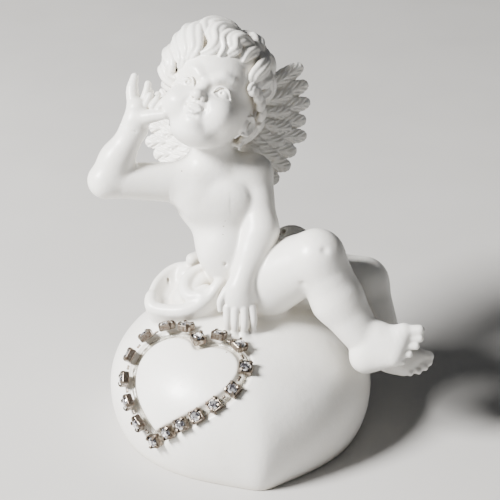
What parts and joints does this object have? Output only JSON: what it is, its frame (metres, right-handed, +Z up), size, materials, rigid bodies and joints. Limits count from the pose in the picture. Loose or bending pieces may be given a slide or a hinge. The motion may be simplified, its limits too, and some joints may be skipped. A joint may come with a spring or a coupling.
{
  "type": "winged cherub figurine",
  "caption": "Seated winged cherub on a puffy heart-shaped base, with a rhinestone heart set into a groove in the front of the base.",
  "frame": {"origin": "the flat underside, on the table, under the middle of the heart base", "axes": "+Z up; -Y is the front, which the heart's point and the rhinestone heart face; +X is the side that the feet point to"},
  "size_m": [0.0847, 0.0644, 0.0999],
  "materials": {
    "cast_resin": "off-white cast resin, satin, with small casting pits and faint dust in the folds",
    "cup_metal": "antique silver plating, browned in the corners",
    "crystal": "foil-backed faceted crystal",
    "clear_adhesive": "clear glue, slightly yellowed"
  },
  "bodies": {
    "root": {"heart_base": "cast_resin", "cherub_figure": "cast_resin", "left_wing": "cast_resin", "right_wing": "cast_resin", "glue_bead": "clear_adhesive", "chain_link_01": "cup_metal", "chain_link_02": "cup_metal", "chain_link_03": "cup_metal", "chain_link_04": "cup_metal", "chain_link_05": "cup_metal", "chain_link_06": "cup_metal", "chain_link_07": "cup_metal", "chain_link_08": "cup_metal", "chain_link_09": "cup_metal", "chain_link_10": "cup_metal", "rhinestone_01": "crystal", "rhinestone_02": "crystal", "rhinestone_03": "crystal", "rhinestone_04": "crystal", "rhinestone_05": "crystal", "rhinestone_06": "crystal", "rhinestone_07": "crystal", "rhinestone_08": "crystal", "rhinestone_09": "crystal", "rhinestone_10": "crystal", "rhinestone_11": "crystal", "rhinestone_12": "crystal", "rhinestone_13": "crystal", "rhinestone_14": "crystal", "rhinestone_15": "crystal", "rhinestone_16": "crystal", "rhinestone_17": "crystal", "rhinestone_cup_01": "cup_metal", "rhinestone_cup_02": "cup_metal", "rhinestone_cup_03": "cup_metal", "rhinestone_cup_04": "cup_metal", "rhinestone_cup_05": "cup_metal", "rhinestone_cup_06": "cup_metal", "rhinestone_cup_07": "cup_metal", "rhinestone_cup_08": "cup_metal", "rhinestone_cup_09": "cup_metal", "rhinestone_cup_10": "cup_metal", "rhinestone_cup_11": "cup_metal", "rhinestone_cup_12": "cup_metal", "rhinestone_cup_13": "cup_metal", "rhinestone_cup_14": "cup_metal", "rhinestone_cup_15": "cup_metal", "rhinestone_cup_16": "cup_metal", "rhinestone_cup_17": "cup_metal"}
  },
  "joints": []
}
